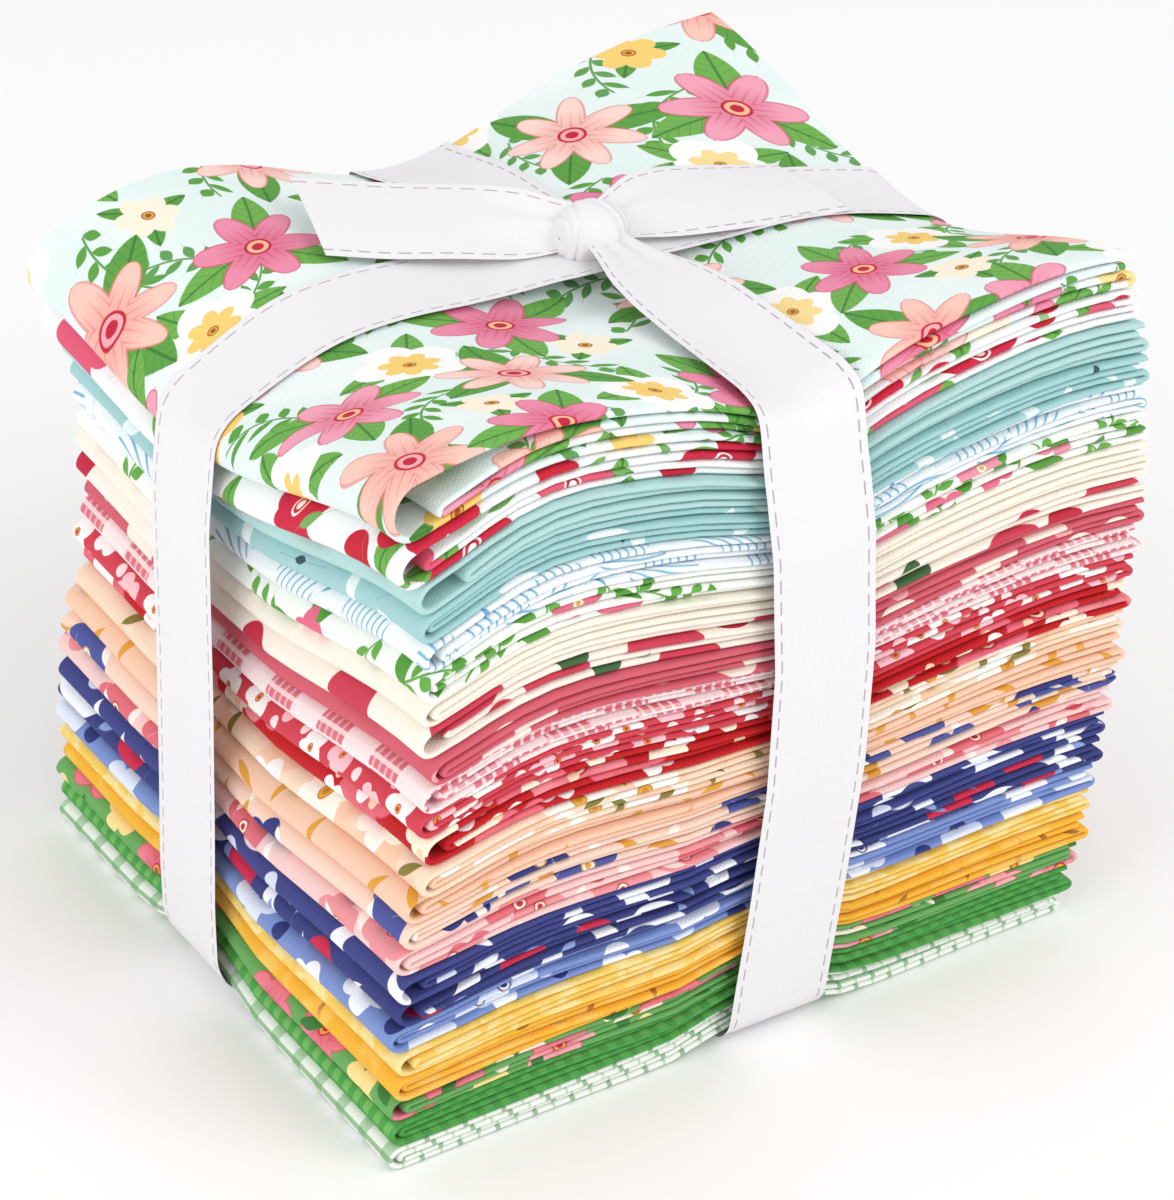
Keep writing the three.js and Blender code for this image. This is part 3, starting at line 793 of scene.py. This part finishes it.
def build_petals(x, y, radius, half_turn, wide, power):
    """Petals round a centre, each with half_turn on both sides of its middle line.

    Gives how far outside them a place is, its share of the petal's length, how far aside of the middle line
    and how far from the centre. A petal's half width is wide times (t (1 - t))^power, t being the share.
    """
    reach = hypotenuse(x, y)
    turned = y.math("ARCTAN2", x).math("WRAP", half_turn, half_turn * -1)
    along = reach * turned.math("COSINE")
    aside = reach * turned.math("SINE")
    share = along / radius
    taper = (share * (1 - share)).most(0.0).math("POWER", power)
    edge = (aside.size() - taper * wide).most(along - radius)
    return edge, share, aside, reach


def build_sprig(x, y, long, pitch):
    """A bent stem with small leaves along both sides, by turns: how far outside it a place is."""
    bent = y - x * x * (0.35 / 10) + 1.0
    stem = bent.size() - 0.22
    side = bent.math("SIGN")
    place = x + side * pitch * 0.25
    step = place.math("WRAP", pitch * 0.5, pitch * -0.5)
    out = bent.size() - pitch * 0.42
    slant_along = step * 0.64 + out * 0.77
    slant_aside = out * 0.64 - step * 0.77
    leaf = lens(slant_along, slant_aside, pitch * 0.5, pitch * 0.24)
    leaf = leaf.most((place - step).size() - long * 0.5)
    return (stem.most(x.size() - long * 0.5).least(leaf),)


def build_moon(x, y, radius, bite):
    """A disc with another disc bitten out of it: how far outside it a place is."""
    return ((hypotenuse(x, y) - radius).most(radius * 0.86 - hypotenuse(x, y - bite)),)


THREAD_PITCH = 0.5


def build_weave(x, y):
    """Plain weave, whose threads pass over and under in turn: sin(pi x / pitch) sin(pi y / pitch)."""
    turn = math.pi / THREAD_PITCH
    return ((x * turn).math("SINE") * (y * turn).math("SINE"),)


LATTICE = node_group(
    "lattice",
    build_lattice,
    ["Place", "Shift", "Cell", "Jitter", "Turn"],
    ["X", "Y", "Kind", "Other"],
    ways=["Place", "Shift"],
)
PETALS = node_group(
    "petals",
    build_petals,
    ["X", "Y", "Radius", "Half turn", "Wide", "Power"],
    ["Edge", "Along", "Aside", "Reach"],
)
SPRIG = node_group("sprig", build_sprig, ["X", "Y", "Long", "Pitch"], ["Edge"])
MOON = node_group("moon", build_moon, ["X", "Y", "Radius", "Bite"], ["Edge"])
WEAVE = node_group("weave", build_weave, ["X", "Y"], ["Height"])

# Materials


def linear(colour):
    """A colour of 0 to 255 a channel, as seen on a screen, as the shader's own linear one."""
    return [((channel / 255 + 0.055) / 1.055) ** 2.4 for channel in colour]


SHARP = 0.001  # the soft step of a choice by chance
WANDER_SIZE = 70


class Print:
    """A printed cloth's colour, painted layer on layer over its ground.

    flat_x and flat_y are the place on the flat cloth, in millimetres. x and y are that place turned by tilt
    and moved by the seed, with a slow wander, so that the rows of motifs aren't quite straight.
    """

    def __init__(self, tree, ground, wander=0.0, tilt=0.0, seed=0.0):
        self.tree = tree
        self.seed = seed
        cloth = tree.nodes.new("ShaderNodeUVMap")
        cloth.uv_map = "cloth"
        parts = tree.nodes.new("ShaderNodeSeparateXYZ")
        tree.links.new(cloth.outputs[0], parts.inputs[0])
        self.flat_x = Field(tree, parts.outputs[0]) * 1000
        self.flat_y = Field(tree, parts.outputs[1]) * 1000
        across, up = self.flat_x, self.flat_y
        if wander:
            across = across + self.noise(self.flat_x, self.flat_y, WANDER_SIZE, 0) * (wander * 2)
            up = up + self.noise(self.flat_y, self.flat_x, WANDER_SIZE, 0) * (wander * 2)
        cosine, sine = math.cos(tilt), math.sin(tilt)
        self.x = across * cosine + up * sine + seed * 13.7
        self.y = up * cosine - across * sine + seed * 5.1
        self.place = Field(tree, vector(self.x, self.y))
        paper = tree.nodes.new("ShaderNodeRGB")
        paper.outputs[0].default_value = (*linear(ground), 1)
        self.colour = paper.outputs[0]

    def noise(self, x, y, size, detail=2):
        """Smooth noise from about -0.5 to 0.5, whose blobs are about size across."""
        texture = self.tree.nodes.new("ShaderNodeTexNoise")
        texture.noise_dimensions = "2D"
        texture.inputs["Scale"].default_value = 1 / size
        texture.inputs["Detail"].default_value = detail
        self.tree.links.new(vector(x, y), texture.inputs["Vector"])
        return Field(self.tree, texture.outputs[0]) - 0.5

    def paint(self, mask, colour):
        """Lays colour over the rest. A colour Mix has its colours at inputs 6 and 7 and gives output 2."""
        mix = self.tree.nodes.new("ShaderNodeMix")
        mix.data_type = "RGBA"
        self.tree.links.new(mask.socket, mix.inputs[0])
        self.tree.links.new(self.colour, mix.inputs[6])
        mix.inputs[7].default_value = (*linear(colour), 1)
        self.colour = mix.outputs[2]

    def lattice(self, cell, shift, jitter, turn, seed):
        values = (self.place, (*shift, seed + self.seed), cell, jitter, turn * 2 * math.pi)
        return use_group(LATTICE, self.tree, *values)

    def petals(self, x, y, radius, count, plump, power):
        wide = radius * plump * 4**power
        return use_group(PETALS, self.tree, x, y, radius, math.pi / count, wide, power)

    # The layers. Each is laid on square cells, shifted by a share of a cell and filled by the chance given.

    def dots(self, cell, shift, radius, colour, chance, seed):
        x, y, kind, _ = self.lattice(cell, shift, 0.3, 1, seed)
        self.paint((hypotenuse(x, y) - radius).below(0) * kind.below(chance, SHARP), colour)

    def moons(self, cell, shift, radius, bite, colour, chance, seed):
        x, y, kind, _ = self.lattice(cell, shift, 0.2, 0.3, seed)
        (edge,) = use_group(MOON, self.tree, x, y, radius, bite)
        self.paint(edge.below(0) * kind.below(chance, SHARP), colour)

    def dashes(self, cell, shift, long, wide, colour, chance, seed, turn=1.0):
        x, y, kind, _ = self.lattice(cell, shift, 0.3, turn, seed)
        self.paint(lens(x, y, long, wide).below(0) * kind.below(chance, SHARP), colour)

    def sprigs(self, cell, shift, long, pitch, colour, chance, seed):
        x, y, kind, _ = self.lattice(cell, shift, 0.15, 1, seed)
        (edge,) = use_group(SPRIG, self.tree, x, y, long, pitch)
        self.paint(edge.below(0) * kind.below(chance, SHARP), colour)

    def blooms(self, cell, shift, radius, count, plump, colours, eye, chance, seed, leaf=None, line=None):
        """Flowers of one of two colours, and the colours of the eye and its ring.

        leaf has the colours of three leaves behind and of their veins. line is the colour of the petals'
        outlines and of the streaks from their middles.
        """
        x, y, kind, other = self.lattice(cell, shift, 0.22, 1, seed)
        here = kind.below(chance, SHARP)
        if leaf:
            edge, along, aside, _ = self.petals(y, x, radius * 1.5, 3, 0.2, 0.85)
            shape = edge.below(0) * here
            self.paint(shape, leaf[0])
            off = aside.size()
            veins = (off - along * (radius * 1.5)).wrapped(2.2).size().below(0.14)
            self.paint(shape * (off.below(0.22) + veins * 0.5).least(1.0) * 0.75, leaf[1])
        edge, along, aside, centre = self.petals(x, y, radius, count, plump, 0.45)
        shape = edge.below(0) * here
        self.paint(shape, colours[0])
        self.paint(shape * other.below(0.45, SHARP), colours[1])
        if line:
            fade = along.math("MULTIPLY_ADD", -2.2, 1.5, clamp=True)
            streaks = aside.wrapped(1.5).size().below(0.15)
            self.paint(shape * fade * streaks * 0.6, line)
            self.paint(shape * along.math("MULTIPLY_ADD", -1.5, 1.0, clamp=True) * 0.55, line)
            self.paint(edge.size().below(0.2) * here * 0.6, line)
        if eye:
            self.paint(centre.below(radius * 0.21) * here, eye[0])
            self.paint((centre - radius * 0.13).size().below(radius * 0.035) * here, eye[1])

    def blobs(self, size, level, colour, strength, soft):
        """Blobs where the noise is over level."""
        spread = self.noise(self.x, self.y, size)
        self.paint((spread * -1).below(-level, soft) * strength, colour)

    def stripes(self, pitch, wide, colour, strength, upright=False):
        place = self.flat_x if upright else self.flat_y
        self.paint(place.wrapped(pitch).size().below(wide / 2) * strength, colour)

    def checks(self, pitch, colour, strength):
        """Every other square of a board whose squares are half a pitch wide."""
        self.paint((self.flat_x.wrapped(pitch) * self.flat_y.wrapped(pitch)).below(0) * strength, colour)

    def stripe_patches(self, cell, radius, pitch, wide, colour, seed):
        """Groups of thin bent lines in scattered round patches."""
        x, y, _, _ = self.lattice(cell, (0, 0), 0.2, 0.5, seed)
        lines = (y + x * x * 0.03).wrapped(pitch).size().below(wide / 2)
        self.paint(lines * hypotenuse(x, y).below(radius, 0.4), colour)

    def weave(self):
        return use_group(WEAVE, self.tree, self.flat_x, self.flat_y)[0]


# The prints, in the quarters' order

CRIMSON, PEACH, BLUSH = (196, 30, 58), (250, 200, 186), (252, 214, 204)
GREEN, LEAF_GREEN, DEEP_GREEN = (92, 160, 66), (112, 176, 78), (52, 110, 50)
WHITE, CREAM, GOLD, NAVY = (250, 250, 248), (252, 240, 218), (228, 170, 70), (52, 58, 128)
YELLOW, STRAW, BROWN = (247, 208, 116), (250, 222, 150), (156, 84, 36)
BRIGHT_LEAF, DARK_LEAF = (LEAF_GREEN, DEEP_GREEN), (GREEN, DEEP_GREEN)
PRINTS = {}


def printed_cotton(ground, wander=0, tilt=0):
    """Keeps a function's layers as the print of its name, over the ground, with a wander in millimetres."""

    def keep(layers):
        PRINTS[layers.__name__] = (ground, wander, tilt, layers)
        return layers

    return keep


@printed_cotton((228, 242, 240), 7, 0.45)
def aqua_floral(p):
    pinks, coral, rose = [(236, 140, 170), (242, 162, 184)], (222, 110, 112), (198, 44, 92)
    coral_eye, pink_eye = [CRIMSON, (244, 170, 176)], [CRIMSON, (248, 188, 150)]
    p.blobs(26, 0.08, (240, 247, 247), 0.7, 0.2)
    p.sprigs(28, (0.25, 0.1), 19, 3.8, GREEN, 0.85, 11)
    p.sprigs(31, (0.75, 0.6), 17, 3.6, (98, 158, 84), 0.75, 12)
    p.blooms(42, (0.5, 0), 8.6, 5, 0.44, [WHITE, WHITE], None, 0.95, 13, BRIGHT_LEAF)
    p.blooms(42, (0.5, 0), 4.8, 7, 0.3, [YELLOW, STRAW], [BROWN, GOLD], 0.95, 13)
    p.blooms(42, (0, 0.5), 5.2, 6, 0.36, [CREAM, YELLOW], [BROWN, GOLD], 0.85, 14, DARK_LEAF)
    p.blooms(42, (0.5, 0.5), 11.2, 7, 0.2, [PEACH, BLUSH], coral_eye, 1, 15, DARK_LEAF, coral)
    p.blooms(42, (0, 0), 10.8, 6, 0.24, pinks, pink_eye, 1, 16, BRIGHT_LEAF, rose)


@printed_cotton((244, 246, 246), 4, 0.3)
def white_cherry(p):
    reds = [(206, 34, 66), (226, 90, 120)]
    p.blooms(24, (0.5, 0.5), 7.5, 5, 0.42, reds, [WHITE, CRIMSON], 0.9, 21, BRIGHT_LEAF)
    p.dots(24, (0, 0), 3.6, (200, 28, 54), 0.6, 22)
    p.dashes(12, (0.25, 0.25), 2.6, 0.9, (120, 176, 96), 0.5, 23)


@printed_cotton((181, 218, 216))
def teal_plain(p):
    p.blobs(2.2, 0.02, (170, 210, 208), 0.25, 0.3)


@printed_cotton((168, 210, 211), 3, 0.5)
def teal_print(p):
    p.blobs(2.2, 0.02, (156, 202, 204), 0.3, 0.3)
    p.dashes(9, (0, 0), 3.6, 1.3, (236, 244, 244), 0.55, 31)
    p.dashes(13, (0.5, 0), 1.6, 0.6, (60, 84, 96), 0.4, 32)


@printed_cotton((245, 249, 252), 3, 0.7)
def blue_line(p):
    p.stripe_patches(15, 6.4, 1.5, 0.42, (132, 188, 216), 41)
    p.dashes(15, (0.5, 0.5), 3.0, 0.5, (116, 168, 208), 0.7, 42)


@printed_cotton((248, 250, 244), 3, 0.35)
def green_leaf(p):
    p.sprigs(15, (0, 0), 12, 3.4, (104, 172, 72), 0.9, 51)
    p.dashes(11, (0.5, 0.5), 3.8, 1.5, (88, 156, 60), 0.75, 52)
    p.blooms(22, (0.3, 0.2), 4.6, 5, 0.4, [(240, 150, 170), (232, 110, 140)], [GOLD, WHITE], 0.6, 53)


@printed_cotton((250, 243, 230))
def cream_plain(p):
    p.blobs(2.4, 0.02, (240, 228, 208), 0.2, 0.3)


@printed_cotton((250, 241, 230), 4, 0.4)
def cream_rose(p):
    p.dots(26, (0.5, 0), 6.4, (206, 62, 84), 0.6, 61)
    p.dashes(26, (0, 0.5), 7.5, 3.2, (66, 104, 62), 0.6, 62, turn=0.2)
    p.dots(26, (0, 0), 3.8, (196, 40, 66), 0.6, 63)


@printed_cotton((212, 96, 112), 3, 0.5)
def coral_spot(p):
    p.dots(19, (0, 0), 4.2, (252, 238, 226), 0.85, 71)
    p.dots(19, (0.5, 0.5), 1.8, (238, 168, 170), 0.8, 72)


@printed_cotton((222, 116, 132))
def coral_check(p):
    p.stripes(1.8, 0.6, (250, 232, 232), 0.85, upright=True)
    p.stripes(1.8, 0.6, (250, 232, 232), 0.45)
    p.checks(16, (252, 238, 238), 0.9)


@printed_cotton((212, 66, 82), 2, 0.3)
def coral_ditsy(p):
    p.blooms(8.4, (0, 0), 3.3, 5, 0.42, [WHITE, (250, 196, 204)], [(196, 30, 50), GOLD], 0.85, 81)
    p.dots(8.4, (0.5, 0.5), 1.0, (252, 226, 226), 0.8, 82)


@printed_cotton((194, 22, 30), 4, 0.6)
def crimson_floral(p):
    pinks, eye = [(238, 142, 150), (232, 110, 126)], [(196, 30, 50), CREAM]
    p.blooms(25, (0, 0), 8.4, 5, 0.42, pinks, eye, 0.85, 91, line=(206, 60, 80))
    p.blooms(12.5, (0.5, 0.5), 4.4, 5, 0.4, [WHITE, CREAM], [GOLD, (214, 120, 40)], 0.62, 92)
    p.dots(9, (0.2, 0.6), 1.0, (252, 214, 180), 0.7, 93)


@printed_cotton((248, 222, 196), 3, 0.25)
def cream_daisy(p):
    p.blobs(15, 0.03, (250, 202, 170), 0.8, 0.06)
    p.blooms(17, (0, 0), 6.6, 6, 0.36, [WHITE, (253, 248, 236)], [(206, 140, 40), GOLD], 0.85, 101)
    p.dashes(9, (0.5, 0.5), 2.6, 0.8, (136, 128, 62), 0.5, 102)


@printed_cotton((247, 205, 178), 2, 0.4)
def peach_dash(p):
    p.dashes(9.5, (0, 0), 3.4, 0.8, (226, 162, 60), 0.8, 111)
    p.moons(19, (0.5, 0.5), 2.8, 1.4, (232, 172, 84), 0.6, 112)


@printed_cotton((248, 216, 198), 3, 0.55)
def peach_floral(p):
    p.blooms(17, (0, 0), 6.2, 5, 0.42, [NAVY, (78, 88, 160)], [GOLD, WHITE], 0.75, 121)
    p.moons(17, (0.5, 0.5), 4.0, 2.0, (224, 160, 62), 0.7, 122)
    p.dashes(8.5, (0.5, 0), 2.2, 0.8, (250, 246, 240), 0.7, 123)


@printed_cotton((246, 206, 204), 3, 0.35)
def pink_rose(p):
    p.blooms(14, (0, 0), 5.8, 5, 0.42, [(226, 112, 124), (236, 150, 156)], [(196, 50, 66), CREAM], 0.8, 131)
    p.dashes(9, (0.5, 0.5), 2.4, 0.9, (252, 240, 236), 0.7, 132)


@printed_cotton((62, 69, 135), 3, 0.2)
def navy_moon(p):
    p.moons(16, (0, 0), 5.2, 3.6, (244, 246, 252), 0.85, 141)
    p.dots(16, (0.5, 0.5), 1.8, (216, 224, 246), 0.7, 142)


@printed_cotton((56, 63, 126), 4, 0.5)
def navy_crescent(p):
    p.moons(20, (0, 0), 7.0, 3.2, (244, 246, 252), 0.85, 151)
    p.dots(20, (0.5, 0.5), 4.2, (204, 40, 74), 0.7, 152)
    p.dashes(10, (0.5, 0), 2.2, 0.9, (140, 160, 214), 0.6, 153)


@printed_cotton((126, 149, 207), 3, 0.45)
def periwinkle_print(p):
    p.blooms(15, (0, 0), 5.6, 5, 0.42, [(246, 248, 254), (226, 234, 250)], [NAVY, WHITE], 0.85, 161)
    p.dots(15, (0.5, 0.5), 1.7, (48, 56, 122), 0.8, 162)


@printed_cotton((246, 206, 98), 2, 0.3)
def yellow_mottled(p):
    p.blobs(7, 0.02, (252, 232, 168), 0.75, 0.12)
    p.dashes(7, (0, 0), 2.4, 0.8, (250, 226, 150), 0.8, 171)


@printed_cotton((244, 184, 58), 2, 0.5)
def yellow_mark(p):
    p.dashes(8, (0, 0), 1.7, 0.5, (170, 112, 44), 0.55, 181)
    p.blobs(9, 0.06, (250, 208, 108), 0.6, 0.1)


@printed_cotton((106, 172, 96), 3, 0.4)
def green_floral(p):
    pinks = [(236, 130, 146), (244, 176, 180)]
    p.blooms(19, (0, 0), 7.0, 5, 0.42, pinks, [(196, 40, 66), GOLD], 0.85, 191, line=(206, 60, 90))
    p.blooms(19, (0.5, 0.5), 4.8, 5, 0.4, [CREAM, (250, 226, 150)], [GOLD, (170, 100, 40)], 0.7, 192)
    p.dashes(9.5, (0.5, 0), 3.0, 1.2, (62, 128, 60), 0.7, 193)


@printed_cotton((79, 164, 76))
def green_gingham(p):
    p.stripes(3.2, 1.6, (134, 198, 110), 0.6)
    p.stripes(3.2, 1.6, (58, 138, 62), 0.5, upright=True)


@printed_cotton((243, 247, 240))
def white_plaid(p):
    p.stripes(7.0, 2.4, (122, 186, 116), 0.6)
    p.stripes(7.0, 0.9, (82, 150, 84), 0.65, upright=True)
    p.stripes(3.5, 0.5, (142, 190, 138), 0.5, upright=True)


# What all the cloth and the ribbon have in common

THREAD_RELIEF = 0.00006  # metres
REVERSE, REVERSE_SHARE = (244, 243, 240), 0.62
# Painted shade: a grey and its share, laid where the weave's threads dip, standing in for shade between the
# threads.
WEAVE_PAINTED_SHADE, WEAVE_PAINTED_SHADE_SHARE = (120, 120, 124), 0.07
SATIN, STITCH = (234, 232, 235), (150, 132, 136)
STITCH_LINE = 8.2  # from the ribbon's middle
STITCH_PITCH = 3.5
RIB_PITCH = 0.6


def new_surface(name, roughness, gloss):
    """A new material, its node tree and its surface shader."""
    material = bpy.data.materials.new(name)
    material.use_nodes = True
    surface = material.node_tree.nodes["Principled BSDF"]
    surface.inputs["Roughness"].default_value = roughness
    surface.inputs["Specular IOR Level"].default_value = gloss
    return material, material.node_tree, surface


def raise_threads(tree, surface, height, strength):
    bump = tree.nodes.new("ShaderNodeBump")
    bump.inputs["Distance"].default_value = THREAD_RELIEF
    bump.inputs["Strength"].default_value = strength
    tree.links.new(height.socket, bump.inputs["Height"])
    tree.links.new(bump.outputs["Normal"], surface.inputs["Normal"])


def cloth_material(slot):
    """Printed cotton: the print on the face, a pale ghost of it on the reverse, and the weave's threads, with
    painted shade in the weave's hollows.
    """
    ground, wander, tilt, layers = PRINTS[slot]
    material, tree, surface = new_surface(slot, 0.85, 0.25)
    printed = Print(tree, ground, wander, tilt, float(list(PRINTS).index(slot)))
    layers(printed)
    side = Field(tree, tree.nodes.new("ShaderNodeNewGeometry").outputs["Backfacing"])
    printed.paint(side * REVERSE_SHARE, REVERSE)
    threads = printed.weave()
    # Painted shade: grey laid over the weave's low points, where shade falls between the threads.
    printed.paint(threads.below(-0.2, 0.8) * WEAVE_PAINTED_SHADE_SHARE, WEAVE_PAINTED_SHADE)
    tree.links.new(printed.colour, surface.inputs["Base Color"])
    raise_threads(tree, surface, threads, 0.35)
    return material


def ribbon_material():
    """Pale satin with fine ribs across it and a dashed line of stitches inside each edge."""
    material, tree, surface = new_surface("ribbon_satin", 0.5, 0.3)
    face = Print(tree, SATIN)
    line = (face.flat_y.size() - STITCH_LINE).size().below(0.13)
    dash = face.flat_x.wrapped(STITCH_PITCH).size().below(1.1)
    face.paint(line * dash * 0.8, STITCH)
    tree.links.new(face.colour, surface.inputs["Base Color"])
    ribs = (face.flat_x * (2 * math.pi / RIB_PITCH)).math("SINE") * 0.5
    raise_threads(tree, surface, ribs + face.noise(face.flat_x, face.flat_y * 6, 5), 0.4)
    return material


place_camera()
light_room()
lay_floor()
for number in range(len(QUARTERS)):
    folded_quarter(number).data.materials.append(cloth_material(QUARTERS[number]["slot"]))
satin = ribbon_material()
for piece in make_ribbon():
    piece.data.materials.append(satin)
